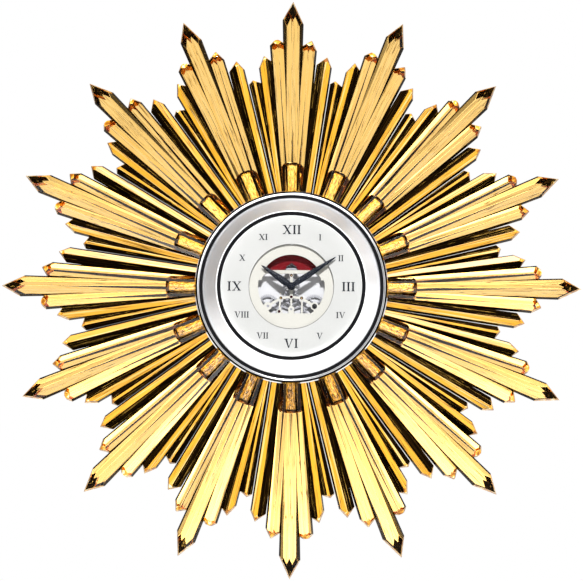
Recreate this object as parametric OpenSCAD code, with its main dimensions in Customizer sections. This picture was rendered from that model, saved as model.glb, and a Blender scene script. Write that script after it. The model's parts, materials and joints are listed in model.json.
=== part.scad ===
// Sunburst wall clock: sixteen moulded crystal rays around a round case that
// holds a mechanical movement with two barrels, a dial, hands and a lift-off bezel.
// The origin is where the axis of the hands meets the wall. +Z is up, the dial faces -Y.

/* [Rays] */
// Radius from the axis of the hands to the tips of the longest crystals
ray_tip_r = 310; // [260:1:380]
// Number of crystal rays
ray_count = 16; // [12:1:16]
// Diameter of the metal stud that carries each crystal
stud_d = 20; // [14:0.5:24]
// Length of stud inside each crystal
stud_grip = 31; // [20:0.5:40]
// Height of the stud axis above the wall
stud_z = 35; // [28:0.5:44]
// Glass left behind the stud bore
ray_back_wall = 2.2; // [1.5:0.1:5]
// Glass left in front of the stud bore, under the front ridge
ray_front_wall = 3; // [2:0.1:6]
// Gap between neighbouring crystals
ray_gap = 0.6; // [0.3:0.1:2]

/* [Case] */
// Outer radius of the bezel
case_r = 102.3; // [85:0.1:125]
// Radial width of the whole bezel, from its outer edge to the dial opening
bezel_w = 27.3; // [22:0.1:33]
// Height of the top of the bezel above the dial
bezel_rise = 10; // [8:0.5:14]
// Thickness of the back plate
back_plate_t = 3; // [2:0.1:5]
// Thickness of the dial glass
glass_t = 2; // [1.5:0.1:3]

/* [Dial and hands] */
// Radius of the hole in the dial that shows the centre plate
dial_hole_r = 45; // [42:0.5:47]
// Thickness of the dial
dial_t = 1; // [0.6:0.1:2]
// Length of the hour hand from the axis to its point
hour_hand_l = 39; // [30:0.5:48]
// Length of the minute hand from the axis to its point
minute_hand_l = 57; // [45:0.5:60]
// Hour shown at rest
hour_at_rest = 10; // [0:1:11]
// Minutes shown at rest
minutes_at_rest = 9.4; // [0:0.1:59.9]

/* [Movement] */
// Radius of the movement plates
plate_r = 52; // [52:0.5:58]
// Thickness of the main plate and of the front plate
plate_t = 2; // [1.5:0.1:3]
// Space behind the main plate
back_gap = 7; // [5:0.5:12]
// Space between the main plate and the front plate, for the wheel train
train_gap = 29.5; // [24:0.5:36]
// Space between the front plate and the centre plate, for the winding and motion work
bridge_gap = 7; // [6.6:0.1:9]
// Radius of the arbors of the wheel train
arbor_r = 0.6; // [0.5:0.05:0.8]
// Radius of the barrel arbors
barrel_arbor_r = 1.5; // [1.2:0.05:2]
// Radius of the centre arbor, which carries the minute hand
centre_arbor_r = 1; // [0.8:0.05:1.2]

/* [Fits] */
// Radial clearance of a shaft that turns in a hole
running = 0.06; // [0.03:0.01:0.1]
// Radial clearance of a screw or a part that drops into place
drop_in = 0.2; // [0.1:0.05:0.4]
// Radial gap between a screw's thread and its tapped hole
thread_gap = 0.02; // [0.01:0.01:0.05]

/* [Hidden] */
ray_step = 360 / ray_count;
ray_names = [for (k = [1 : ray_count]) str("crystal_ray_", k < 10 ? "0" : "", k)];
$fn = 96;
eps = 0.01;

// Heights above the wall, stacked from the back plate forwards
main_back_z = back_plate_t + back_gap;
main_z = main_back_z + plate_t;
front_back_z = main_z + train_gap;
front_z = front_back_z + plate_t;
centre_back_z = front_z + bridge_gap;
centre_plate_t = 1.5;
centre_z = centre_back_z + centre_plate_t;
dial_step = 1;
dial_back_z = centre_z + dial_step;
dial_z = dial_back_z + dial_t;

// Case and bezel
dial_open_r = case_r - bezel_w;
dial_r = dial_open_r + 1;
body_in_r = dial_open_r + 5;
body_out_r = case_r - 8.3;
neck_r = body_in_r + 4;
seat_z = stud_z + stud_d / 2 + 1.5;
ledge_t = 2;
bezel_top_z = dial_z + bezel_rise;
band_ring_t = 2;
glass_z = bezel_top_z - band_ring_t - glass_t;
glass_r = dial_open_r + 3.6;
inner_band_r = dial_open_r + 4;
bead_in_r = case_r - 4.3;
band_in_r = bead_in_r - 3;

// Rays: each row is one prism of a ray, from left to right as seen from the front.
// [angle at tip, reach as a share of the tip radius, angle at root,
//  half width at tip, half width at root (degrees), how far its ridge lies behind the main one,
//  half width of the chisel edge at its tip (mm), length of its point as a share of the main point,
//  ridge line between two edges: [share of half width, fall in mm]]
PRISMS = [
    [-10.5, 0.737, -8.4, 2.1, 4.0, 2.6, 0.3, 0.55, [[-0.55, 3.5], [0, 0], [0.5, 3.2]]],
    [-6.9, 0.815, -6.0, 2.0, 3.6, 1.9, 0.3, 0.55, [[-0.75, 1.4], [-0.05, 0], [0.3, 2.8]]],
    [-3.7, 0.864, -3.3, 1.9, 3.4, 1.1, 3.4, 0.3, [[-0.62, 0.9], [0.05, 0], [0.7, 1.5]]],
    [0, 1, 0, 2.5, 3.9, 0, 0.2, 1, [[-0.65, 1.7], [0, 0], [0.65, 1.7]]],
    [3.9, 0.864, 3.8, 2.0, 3.4, 0.8, 3.4, 0.3, [[-0.7, 1.5], [0, 0], [0.62, 0.9]]],
    [8.0, 0.814, 8.2, 2.1, 4.3, 1.6, 0.3, 0.55, [[-0.3, 2.9], [0.05, 0], [0.75, 1.3]]]
];
ray_fan = ray_step / 22.5;
ray_root_r = case_r + 1;
ray_half_back = stud_d / 2 + ray_back_wall;
ray_half_front = stud_d / 2 + ray_front_wall;
back_share = 0.6;
waist_fall = 9;
tip_share = 0.072;
back_rise = 0.35;
ray_edge_root = -10.3;
ray_edge_outer = -12.15;
ray_edge_reach = 0.6945;
ray_overlap = 6;

// Sites of the arbors, seen from the front, from the axis of the hands
centre_at = [0, 0];
third_at = [-10.5, 3.5];
fourth_at = [-10.4, 14];
escape_at = [0, 12];
pallet_at = [5.2, 13.3];
balance_at = [0, 22.7];
barrel_at = [24.8, -21];
middle_at = [11, -12.3];
minute_at = [0, -11.1];
crown_at = [0, -24.2];
spare_jewel_at = [-12.9, -26.7];
click_at = [9.5, -40];

// Tooth counts
barrel_teeth = 72;
middle_leaves = 12;
middle_teeth = 60;
centre_leaves = 10;
centre_teeth = 64;
third_leaves = 8;
third_teeth = 60;
fourth_leaves = 8;
fourth_teeth = 60;
escape_leaves = 8;
escape_teeth = 15;
cannon_leaves = 14;
minute_teeth = 42;
minute_leaves = 12;
hour_teeth = 48;
crown_teeth = 40;

// Gear modules that follow from the sites and the tooth counts
middle_m = module_of(middle_at, barrel_at, middle_leaves, barrel_teeth);
centre_m = module_of(centre_at, middle_at, centre_leaves, middle_teeth);
third_m = module_of(centre_at, third_at, centre_teeth, third_leaves);
fourth_m = module_of(third_at, fourth_at, third_teeth, fourth_leaves);
escape_m = module_of(fourth_at, escape_at, fourth_teeth, escape_leaves);
cannon_m = module_of(centre_at, minute_at, cannon_leaves, minute_teeth);
hour_m = module_of(centre_at, minute_at, hour_teeth, minute_leaves);
crown_m = module_of(crown_at, barrel_at, crown_teeth, crown_teeth);

// Tooth shapes: [addendum, dedendum, half widths at pitch, tip and root as shares of half a pitch]
WHEEL_TOOTH = [0.75, 1.15, 0.44, 0.14, 0.50];
LEAF = [0.65, 1.25, 0.38, 0.16, 0.30];
// Escape wheel tooth: [share of its radius, share of one tooth] for each corner
ESCAPE_TOOTH = [[0.775, -0.3], [1, 0.18], [1, 0.34], [0.775, 0.5]];
escape_r = 4;

function level(share) = main_z + share * train_gap;
drum_low_z = level(0.1);
great_z = level(0.61);
centre_wheel_z = level(0.34);
third_wheel_z = level(0.58);
fourth_wheel_z = level(0.71);
escape_wheel_z = level(0.42);
middle_left_z = level(0.76);
middle_right_z = level(0.86);
roller_z = level(0.56);
hairspring_z = level(0.66);
balance_z = level(0.82);
wheel_t = 1.2;
leaf_over = 0.6;
winding_z = front_z + 0.6;
winding_t = 1.8;
cannon_z = winding_z + winding_t + 0.8;
motion_t = 1;
hour_wheel_z = cannon_z + 1.9;
pivot_r = 0.4;
pivot_in = 1.5;
end_shake = 0.15;
jewel_r = 1.6;
jewel_t = 1.2;

// Hands
hour_pipe_r = 2.8;
cannon_pipe_r = 2;
hour_hand_z = dial_z + 1.4;
hand_t = 1;
minute_hand_z = hour_hand_z + hand_t + 0.6;
minute_angle = 6 * minutes_at_rest;
hour_angle = 30 * hour_at_rest + minute_angle / 12;

// Windows of the centre plate and the feet of the arms that cross the lower one
upper_window_r = 34.1;
upper_window_y = 17.4;
lower_window_r = 35.5;
lower_window_half = 31.5;
lower_window_top_y = 13.8;
lower_window_low_y = -28.6;
window_corner = 7;
left_foot_at = [-12.4, -20.5];
left_foot_end = [-9.3, lower_window_low_y - 1];
right_foot_at = [11.4, -17.5];
right_foot_end = [11.4, lower_window_low_y - 1];
cock_post_at = [5.2, 18.7];
cock_post_r = 1.2;

// Screws and posts
post_at_r = plate_r - 4.5;
post_r = 3.5;
screw_r = 1.5;
back_screw_r = 2;
back_screw_at_r = (body_in_r + body_out_r) / 2;
back_screw_count = 8;
stud_screw_r = 3;
stud_screw_head_r = 5;
stud_screw_head_l = 4;
hang_at_y = (plate_r + body_in_r) / 2;
hang_head_r = 5;
hang_slot_r = 2.6;
hang_slot_l = 7;

// ---- helpers ------------------------------------------------------------------

// Turns a drawing made face up, with its height above the wall along z, to face -Y
module facing() {
    rotate([90, 0, 0]) children();
}

// Repeats its children around the axis of the hands
module around(count, first = 0) {
    for (k = [0 : count - 1])
        rotate([0, 0, -first - k * 360 / count]) children();
}

// Moves its children to a site at a height
module at(site, z = 0) {
    translate([site[0], site[1], z]) children();
}

// A ring between two heights
module ring(r_out, r_in, z, t) {
    translate([0, 0, z]) difference() {
        cylinder(r = r_out, h = t);
        translate([0, 0, -1]) cylinder(r = r_in, h = t + 2);
    }
}

// A bar with round ends between two sites
module bar(a, b, w, z, t) {
    d = b - a;
    at(a, z) cylinder(d = w, h = t);
    at(b, z) cylinder(d = w, h = t);
    at(a, z) rotate([0, 0, atan2(d[1], d[0])])
        translate([0, -w / 2, 0]) cube([norm(d), w, t]);
}

// A site or, for s = -1, its mirror image
function side_at(site, s) = [s * site[0], site[1]];

function module_of(a, b, teeth_a, teeth_b) = 2 * norm(b - a) / (teeth_a + teeth_b);

// Compass angle, clockwise from up, of the line from one site to another
function bearing(a, b) = atan2(b[0] - a[0], b[1] - a[1]);

// Compass angle at which the second gear meshes with the first
function mesh_angle(a, b, angle_a, teeth_a, teeth_b) =
    let (turns = (bearing(a, b) - angle_a) * teeth_a / 360)
    bearing(a, b) + 180 - (0.5 - (turns - floor(turns))) * 360 / teeth_b;

// Outline of a gear, with one tooth pointing up
module gear_outline(teeth, m, shape) {
    root = m * (teeth / 2 - shape[1]);
    pitch = m * teeth / 2;
    tip = m * (teeth / 2 + shape[0]);
    corners = [
        [root, -shape[4]], [pitch, -shape[2]], [tip, -shape[3]],
        [tip, shape[3]], [pitch, shape[2]], [root, shape[4]]
    ];
    polygon([
        for (k = [0 : teeth - 1], c = corners)
            let (a = (k * 360 + c[1] * 180) / teeth)
            [c[0] * sin(a), c[0] * cos(a)]
    ]);
}

// A leaf pinion
module pinion(teeth, m, z, t) {
    translate([0, 0, z]) linear_extrude(t) gear_outline(teeth, m, LEAF);
}

// A wheel with spokes
module wheel(teeth, m, z, t, spokes, hub_r, rim_w) {
    rim_in = m * (teeth / 2 - WHEEL_TOOTH[1]) - rim_w;
    translate([0, 0, z]) difference() {
        linear_extrude(t) gear_outline(teeth, m, WHEEL_TOOTH);
        translate([0, 0, -1]) difference() {
            cylinder(r = rim_in, h = t + 2);
            translate([0, 0, -1]) cylinder(r = hub_r, h = t + 4);
            for (k = [0 : spokes - 1])
                rotate([0, 0, k * 360 / spokes]) translate([-rim_w / 2, 0, -1])
                    cube([rim_w, rim_in + 1, t + 4]);
        }
    }
}

// An arbor between two plates, with a thin pivot into each
module arbor(r, low_z, high_z) {
    translate([0, 0, low_z + end_shake]) cylinder(r = r, h = high_z - low_z - 2 * end_shake);
    translate([0, 0, low_z - pivot_in]) cylinder(r = pivot_r, h = high_z - low_z + pivot_in + 1.1);
}

// Outline of a flat spiral strip
module spiral_outline(r_in, r_out, turns, w) {
    steps = 20 * turns;
    function r_at(k) = r_in + (r_out - r_in) * k / steps;
    polygon(concat(
        [for (k = [0 : steps]) (r_at(k) + w / 2) * [cos(18 * k), sin(18 * k)]],
        [for (k = [steps : -1 : 0]) (r_at(k) - w / 2) * [cos(18 * k), sin(18 * k)]]
    ));
}

// ---- rays ---------------------------------------------------------------------

// Point at a compass angle and radius
function polar(angle, r) = [r * sin(angle), r * cos(angle)];

// One prism: seven-sided section at the root and at the shoulder, chisel edge at the tip
module prism(p) {
    tip = polar(p[0] * ray_fan, p[1] * ray_tip_r);
    root = polar(p[2] * ray_fan, ray_root_r - ray_overlap);
    along = (tip - root) / norm(tip - root);
    across = [along[1], -along[0]];
    shoulder = tip - along * tip_share * ray_tip_r * p[7];
    half_root = norm(root) * tan(p[4] * ray_fan);
    half_tip = norm(shoulder) * tan(p[3] * ray_fan);
    ridge = stud_z + ray_half_front - p[5];
    low = stud_z - ray_half_back + p[5] * back_rise;
    function section(at, half) = [
        for (c = [
            [-back_share, low], [-1, ridge - waist_fall],
            for (f = p[8]) [f[0], ridge - f[1]],
            [1, ridge - waist_fall], [back_share, low]
        ]) [at[0] + across[0] * c[0] * half, at[1] + across[1] * c[0] * half, c[1]]
    ];
    edge = [for (s = [-1, 1]) [
        tip[0] + across[0] * s * p[6], tip[1] + across[1] * s * p[6], ridge - waist_fall
    ]];
    polyhedron(
        points = concat(section(root, half_root), section(shoulder, half_tip), edge),
        faces = concat(
            [for (k = [1 : 5]) [0, k, k + 1]],
            [for (k = [0 : 6]) [k, 7 + k, (k + 1) % 7]],
            [for (k = [0 : 6]) [(k + 1) % 7, 7 + k, 7 + (k + 1) % 7]],
            [[7, 14, 8], [8, 14, 9], [9, 14, 10], [14, 15, 10], [10, 15, 11], [11, 15, 12],
             [12, 15, 13], [13, 15, 14], [13, 14, 7]]
        )
    );
}

// The room that one ray may take between its neighbours
module ray_room() {
    left_root = polar(ray_edge_root * ray_fan, ray_root_r);
    left_out = polar(ray_edge_outer * ray_fan, ray_edge_reach * ray_tip_r);
    lean = (left_out - left_root) / norm(left_out - left_root);
    side = [lean[1], -lean[0]] * ray_gap / 2;
    near = left_root - 20 * lean;
    far = left_root + 1.2 * ray_tip_r * lean;
    turned = [for (q = [near - side, far - side])
        [q[0] * cos(ray_step) + q[1] * sin(ray_step), q[1] * cos(ray_step) - q[0] * sin(ray_step)]];
    linear_extrude(200) polygon([near + side, far + side, turned[1], turned[0]]);
}

// One moulded crystal, pointing up, with the blind bore for its stud
module ray_block() {
    difference() {
        intersection() {
            union() {
                for (p = PRISMS) prism(p);
            }
            ray_room();
        }
        cylinder(r = ray_root_r, h = 200);
        translate([0, 0, stud_z]) rotate([-90, 0, 0])
            cylinder(r = stud_d / 2 + drop_in, h = ray_root_r + stud_grip + drop_in);
    }
}

module crystal_ray(k) {
    color("gold", 0.8) facing() rotate([0, 0, -k * ray_step]) ray_block();
}

// One stud along +y, from the case wall to its rounded end
module stud() {
    corner = 5;
    l = ray_root_r + stud_grip - body_out_r;
    translate([0, body_out_r, stud_z]) rotate([-90, 0, 0]) difference() {
        rotate_extrude() union() {
            square([stud_d / 2 - corner, l]);
            square([stud_d / 2, l - corner]);
            translate([stud_d / 2 - corner, l - corner]) intersection() {
                circle(r = corner);
                square(corner);
            }
        }
        translate([0, 0, -1]) cylinder(r = stud_screw_r + thread_gap, h = 18);
    }
}

module ray_studs() {
    color("goldenrod") facing() around(ray_count) stud();
}

module stud_screws() {
    seat_r = body_in_r + 5.5;
    color("silver") facing() around(ray_count) translate([0, seat_r, stud_z]) rotate([-90, 0, 0]) {
        cylinder(r = stud_screw_r, h = body_out_r + 16 - seat_r);
        difference() {
            translate([0, 0, -stud_screw_head_l]) cylinder(r = stud_screw_head_r, h = stud_screw_head_l);
            translate([0, 0, -stud_screw_head_l - eps]) cylinder(r = 2.9, h = 2.5, $fn = 6);
        }
    }
}

// ---- case ---------------------------------------------------------------------

module back_plate() {
    color("dimgray") facing() difference() {
        cylinder(r = body_out_r, h = back_plate_t);
        around(back_screw_count, 22.5) translate([0, back_screw_at_r, 0]) {
            translate([0, 0, -1]) cylinder(r = back_screw_r + drop_in, h = back_plate_t + 2);
            translate([0, 0, -1]) cylinder(r = 2 * back_screw_r + drop_in, h = back_plate_t * 0.6 + 1);
        }
        around(4) translate([0, post_at_r, -1]) cylinder(r = screw_r + thread_gap, h = back_plate_t + 2);
        translate([0, hang_at_y, -1]) cylinder(r = hang_head_r, h = back_plate_t + 2);
        bar([0, hang_at_y], [0, hang_at_y + hang_slot_l], 2 * hang_slot_r, -1, back_plate_t + 2);
    }
}

module back_plate_screws() {
    color("silver") facing() around(back_screw_count, 22.5) translate([0, back_screw_at_r, 0]) {
        difference() {
            translate([0, 0, 0.1]) cylinder(r = 2 * back_screw_r, h = back_plate_t * 0.6 - 0.1);
            translate([-0.5, -3, 0]) cube([1, 6, 0.8]);
        }
        translate([0, 0, back_plate_t * 0.6]) cylinder(r = back_screw_r, h = 9 + back_plate_t * 0.4);
    }
}

module case_body() {
    color("dimgray") facing() difference() {
        rotate_extrude() polygon([
            [body_in_r, back_plate_t], [body_out_r, back_plate_t], [body_out_r, seat_z],
            [neck_r, seat_z], [neck_r, dial_z + 0.5], [dial_r + drop_in, dial_z + 0.5],
            [dial_r + drop_in, dial_back_z], [dial_open_r - 2, dial_back_z],
            [dial_open_r - 2, dial_back_z - ledge_t], [body_in_r, dial_back_z - ledge_t]
        ]);
        around(back_screw_count, 22.5) translate([0, back_screw_at_r, 0])
            cylinder(r = back_screw_r + thread_gap, h = back_plate_t + 10);
        around(ray_count) translate([0, body_in_r - 2, stud_z]) rotate([-90, 0, 0]) {
            cylinder(r = stud_screw_head_r + drop_in, h = 7.5);
            cylinder(r = stud_screw_r + drop_in, h = 40);
        }
    }
}

// The bezel: flat seat and bore that drop over the neck of the case, satin cone in front
module bezel() {
    skin = 1.8;
    color("lightgray") facing() rotate_extrude() polygon([
        [neck_r + running, seat_z], [bead_in_r + 2, seat_z], [bead_in_r + 2, seat_z + skin],
        [bead_in_r, seat_z + skin], [bead_in_r, seat_z + skin + 0.9],
        [band_in_r, seat_z + skin + 0.9], [band_in_r, seat_z + skin + 1.9],
        [inner_band_r + 1, bezel_top_z - 1], [inner_band_r, bezel_top_z - 1],
        [inner_band_r, glass_z], [dial_open_r, glass_z], [dial_open_r, dial_z],
        [dial_r - drop_in, dial_z], [dial_r - drop_in, dial_z + 0.8],
        [neck_r + running, dial_z + 0.8]
    ]);
}

module bezel_bead() {
    z = seat_z + 1.8;
    color("whitesmoke") facing() rotate_extrude() difference() {
        union() {
            translate([bead_in_r, z]) square([case_r - bead_in_r, 1.4]);
            translate([bead_in_r + 2, z - 1.4]) square([case_r - bead_in_r - 2, 1.6]);
            intersection() {
                translate([(bead_in_r + case_r) / 2, z + 1.4]) circle(r = (case_r - bead_in_r) / 2);
                translate([bead_in_r, z]) square([case_r - bead_in_r, 10]);
            }
        }
        translate([bead_in_r - 1, z - 5]) square([3, 5]);
    }
}

module bezel_outer_band() {
    color("black") facing() ring(bead_in_r, band_in_r, seat_z + 2.7, 1.6);
}

module bezel_inner_band() {
    color("black") facing() rotate_extrude() polygon([
        [dial_open_r, bezel_top_z - band_ring_t], [inner_band_r, bezel_top_z - band_ring_t],
        [inner_band_r, bezel_top_z - 0.4], [inner_band_r - 0.5, bezel_top_z],
        [dial_open_r + 1, bezel_top_z], [dial_open_r, bezel_top_z - 1]
    ]);
}

module dial_glass() {
    color("lightcyan", 0.3) facing() translate([0, 0, glass_z]) cylinder(r = glass_r, h = glass_t);
}

// ---- dial and hands -----------------------------------------------------------

module dial() {
    color("gainsboro") facing() ring(dial_r, dial_hole_r, dial_back_z, dial_t);
}

// Outline of the blade of a leaf hand that points up
module blade_outline(l, w) {
    polygon([
        [-0.30 * w, 0], [-0.5 * w, 0.28 * l], [-0.42 * w, 0.55 * l], [-0.16 * w, 0.95 * l],
        [0, l], [0.16 * w, 0.95 * l], [0.42 * w, 0.55 * l], [0.5 * w, 0.28 * l], [0.30 * w, 0]
    ]);
}

module hand(l, w, hub_r, bore_r, z, angle) {
    color("midnightblue") facing() rotate([0, 0, -angle]) translate([0, 0, z]) difference() {
        union() {
            linear_extrude(hand_t) blade_outline(l, w);
            cylinder(r = hub_r, h = hand_t);
        }
        translate([0, 0, -1]) cylinder(r = bore_r, h = hand_t + 2);
    }
}

module hour_hand() {
    hand(hour_hand_l, 5.8, hour_pipe_r + 1.5, hour_pipe_r, hour_hand_z, hour_angle);
}

module minute_hand() {
    hand(minute_hand_l, 5, cannon_pipe_r + 1.7, cannon_pipe_r, minute_hand_z, minute_angle);
}

module hand_nut() {
    z = minute_hand_z + hand_t;
    color("midnightblue") facing() difference() {
        rotate_extrude() polygon([
            [0, z], [2.8, z], [2.8, z + 0.6], [2, z + 1.2], [0, z + 1.2]
        ]);
        translate([0, 0, z - 1]) cylinder(r = centre_arbor_r, h = 1.8);
    }
}

// ---- plates -------------------------------------------------------------------

// Arms that cross the lower window, up to its top edge and down to its bottom edge
module bridge_arms() {
    z = centre_back_z;
    t = centre_plate_t;
    bar([0, lower_window_top_y + 1.2], minute_at, 3.2, z, t);
    at(escape_at, z) cylinder(r = 2.2, h = t);
    at(centre_at, z) cylinder(r = hour_pipe_r + 1.8, h = t);
    at(minute_at, z) cylinder(r = 2.3, h = t);
    for (s = [-1, 1]) {
        elbow = side_at(middle_at, s);
        foot = side_at(barrel_at, s);
        bar(minute_at, elbow, 2.4, z, t);
        bar(elbow, foot, 2.6, z, t);
        at(elbow, z) cylinder(r = 2.4, h = t);
        at(foot, z) cylinder(r = 4.2, h = t);
        bar(foot, foot * 1.25, 8, z, t);
    }
    bar(minute_at, crown_at, 1.9, z, t);
    at(crown_at, z) cylinder(r = 3.3, h = t);
    bar(crown_at, [0, lower_window_low_y - 2], 6, z, t);
    at(spare_jewel_at, z) cylinder(r = 2.5, h = t);
    bar(left_foot_at, left_foot_end, 1.2, z, t);
    bar(left_foot_at, spare_jewel_at, 1.2, z, t);
    bar(left_foot_at, side_at(middle_at, -1), 1.7, z, t);
    bar(right_foot_at, right_foot_end, 1.7, z, t);
    bar(right_foot_at, middle_at, 1.7, z, t);
}

// The round-topped window above the balance
module upper_window(z, h) {
    intersection() {
        at([0, 0], z) cylinder(r = upper_window_r, h = h);
        at([-upper_window_r, upper_window_y], z) cube([2 * upper_window_r, upper_window_r, h]);
    }
}

// The window over the train: straight top with round corners, round sides, straight bottom
module lower_window(z, h) {
    side = lower_window_half - window_corner;
    shoulder_y = lower_window_top_y - window_corner;
    intersection() {
        at([0, 0], z) cylinder(r = lower_window_r, h = h);
        union() {
            at([-lower_window_r, lower_window_low_y], z)
                cube([2 * lower_window_r, shoulder_y - lower_window_low_y, h]);
            at([-side, 0], z) cube([2 * side, lower_window_top_y, h]);
            for (s = [-1, 1])
                at([s * side, shoulder_y], z) cylinder(r = window_corner, h = h);
        }
    }
}

module centre_plate() {
    z = centre_back_z;
    t = centre_plate_t;
    color("ivory") facing() difference() {
        union() {
            difference() {
                translate([0, 0, z]) cylinder(r = plate_r, h = t);
                upper_window(z - 1, t + 2);
                lower_window(z - 1, t + 2);
            }
            bridge_arms();
            at(minute_at, cannon_z - 0.3) cylinder(r = centre_arbor_r, h = z - cannon_z + 0.4);
        }
        at(centre_at, z - 1) cylinder(r = hour_pipe_r + 2 * drop_in, h = t + 2);
        at(escape_at, z - 1) cylinder(r = jewel_r, h = t + 2);
        at(minute_at, centre_z - jewel_t / 2) cylinder(r = jewel_r, h = t);
        at(spare_jewel_at, centre_z - jewel_t / 2) cylinder(r = jewel_r, h = t);
        at(crown_at, z - 1) cylinder(r = arbor_r * 2 + running, h = t + 2);
        for (s = [-1, 1]) {
            at(side_at(middle_at, s), z - 1) cylinder(r = jewel_r, h = t + 2);
            at(side_at(barrel_at, s), z - 1)
                cylinder(r = barrel_arbor_r + running, h = t + 2);
        }
        around(4) translate([0, post_at_r, z - 1]) {
            cylinder(r = screw_r + drop_in, h = t + 2);
            translate([0, 0, 1.6]) cylinder(r = 2 * screw_r + drop_in, h = t);
        }
    }
}

// A ring jewel for a pivot
module jewel(bore_r) {
    difference() {
        translate([0, 0, centre_plate_t - jewel_t]) cylinder(r = jewel_r, h = jewel_t);
        cylinder(r = bore_r, h = centre_plate_t + 1);
    }
}

module jewels() {
    color("crimson") facing() {
        at(escape_at, centre_back_z) jewel(pivot_r + running);
        for (s = [-1, 1])
            at(side_at(middle_at, s), centre_back_z) jewel(pivot_r + running);
        for (site = [minute_at, spare_jewel_at])
            at(site, centre_z - jewel_t / 2) cylinder(r = jewel_r, h = jewel_t / 2);
        at(balance_at, centre_back_z - 1) jewel(pivot_r + running);
    }
}

// The ornamental cock that carries the front pivot of the balance
module balance_cock() {
    z = centre_back_z - 1;
    t = centre_plate_t;
    foot_y = cock_post_at[1];
    color("dimgray") facing() difference() {
        union() {
            translate([0, 0, z]) linear_extrude(t) polygon([
                [-7.3, foot_y - 1.3], [7.3, foot_y - 1.3], [5.5, foot_y + 1.3], [-5.5, foot_y + 1.3]
            ]);
            at(balance_at, z) cylinder(r = 2.4, h = t);
            for (s = [-1, 1]) {
                at([s * 2.6, balance_at[1] - 1], z) cylinder(r = 1.6, h = t);
                at([s * 4.3, balance_at[1] - 2], z) cylinder(r = 1.3, h = t);
                at(side_at(cock_post_at, s), front_z) cylinder(r = cock_post_r, h = z - front_z + 0.2);
            }
            translate([-4.3, foot_y, z]) cube([8.6, 3, t]);
        }
        at(balance_at, z - 1) cylinder(r = jewel_r, h = t + 2);
    }
}

module red_panel() {
    t = 0.8;
    color("crimson") facing() difference() {
        intersection() {
            translate([0, 0, front_z]) cylinder(r = 40, h = t);
            translate([-45, 15, front_z]) cube([90, 40, t]);
        }
        at(balance_at, front_z - 1) cylinder(r = arbor_r + 2 * drop_in, h = t + 2);
        for (s = [-1, 1])
            at(side_at(cock_post_at, s), front_z - 1) cylinder(r = cock_post_r + drop_in, h = t + 2);
    }
}

module posts_through(z, t) {
    around(4) translate([0, post_at_r, z - 1]) cylinder(r = screw_r + drop_in, h = t + 2);
}

module front_plate() {
    z = front_back_z;
    through = plate_t + 2;
    color("white") facing() difference() {
        translate([0, 0, z]) cylinder(r = plate_r, h = plate_t);
        posts_through(z, plate_t);
        at(centre_at, z - 1) cylinder(r = centre_arbor_r + 2 * drop_in, h = through);
        for (site = [third_at, fourth_at, pallet_at])
            at(site, z - 1) cylinder(r = pivot_r + running, h = through);
        for (site = [escape_at, balance_at])
            at(site, z - 1) cylinder(r = arbor_r + 2 * drop_in, h = through);
        at(crown_at, z - 1) cylinder(r = 2 * arbor_r + running, h = through);
        at(click_at, z - 1) cylinder(r = arbor_r, h = through);
        for (s = [-1, 1]) {
            at(side_at(middle_at, s), z - 1)
                cylinder(r = arbor_r + 2 * drop_in, h = through);
            at(side_at(barrel_at, s), z - 1)
                cylinder(r = barrel_arbor_r + running, h = through);
        }
    }
}

module main_plate() {
    z = main_back_z;
    through = plate_t + 2;
    color("khaki") facing() difference() {
        translate([0, 0, z]) cylinder(r = plate_r, h = plate_t);
        posts_through(z, plate_t);
        for (site = [centre_at, third_at, fourth_at, escape_at, pallet_at, balance_at])
            at(site, z - 1) cylinder(r = pivot_r + running, h = through);
        for (s = [-1, 1]) {
            at(side_at(middle_at, s), z - 1) cylinder(r = pivot_r + running, h = through);
            at(side_at(barrel_at, s), z - 1)
                cylinder(r = barrel_arbor_r + running, h = through);
        }
    }
}

module four_posts(z, h) {
    around(4) translate([0, post_at_r, 0]) ring(post_r, screw_r + drop_in, z, h);
}

module back_spacers() {
    color("gold") facing() four_posts(back_plate_t, back_gap);
}

module pillars() {
    color("gold") facing() four_posts(main_z, train_gap);
}

module dial_spacers() {
    color("gold") facing() four_posts(front_z, bridge_gap);
}

module movement_screws() {
    head_z = centre_back_z + 0.6;
    color("silver") facing() around(4) translate([0, post_at_r, 0]) {
        translate([0, 0, 0.5]) cylinder(r = screw_r, h = head_z - 0.5);
        difference() {
            translate([0, 0, head_z]) cylinder(r = 2 * screw_r, h = centre_z - head_z);
            translate([-0.4, -2 * screw_r - 1, centre_z - 0.4]) cube([0.8, 4 * screw_r + 2, 1]);
        }
    }
}

// ---- going train --------------------------------------------------------------

function middle_angle(s) =
    mesh_angle(centre_at, side_at(middle_at, s), 0, centre_leaves, middle_teeth);
function barrel_angle(s) = mesh_angle(
    side_at(middle_at, s), side_at(barrel_at, s), middle_angle(s), middle_leaves, barrel_teeth
);
third_angle = mesh_angle(centre_at, third_at, 0, centre_teeth, third_leaves);
fourth_angle = mesh_angle(third_at, fourth_at, third_angle, third_teeth, fourth_leaves);
escape_angle = mesh_angle(fourth_at, escape_at, fourth_angle, fourth_teeth, escape_leaves);
minute_wheel_angle = mesh_angle(centre_at, minute_at, 0, cannon_leaves, minute_teeth);
hour_wheel_angle = mesh_angle(minute_at, centre_at, minute_wheel_angle, minute_leaves, hour_teeth);

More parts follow.
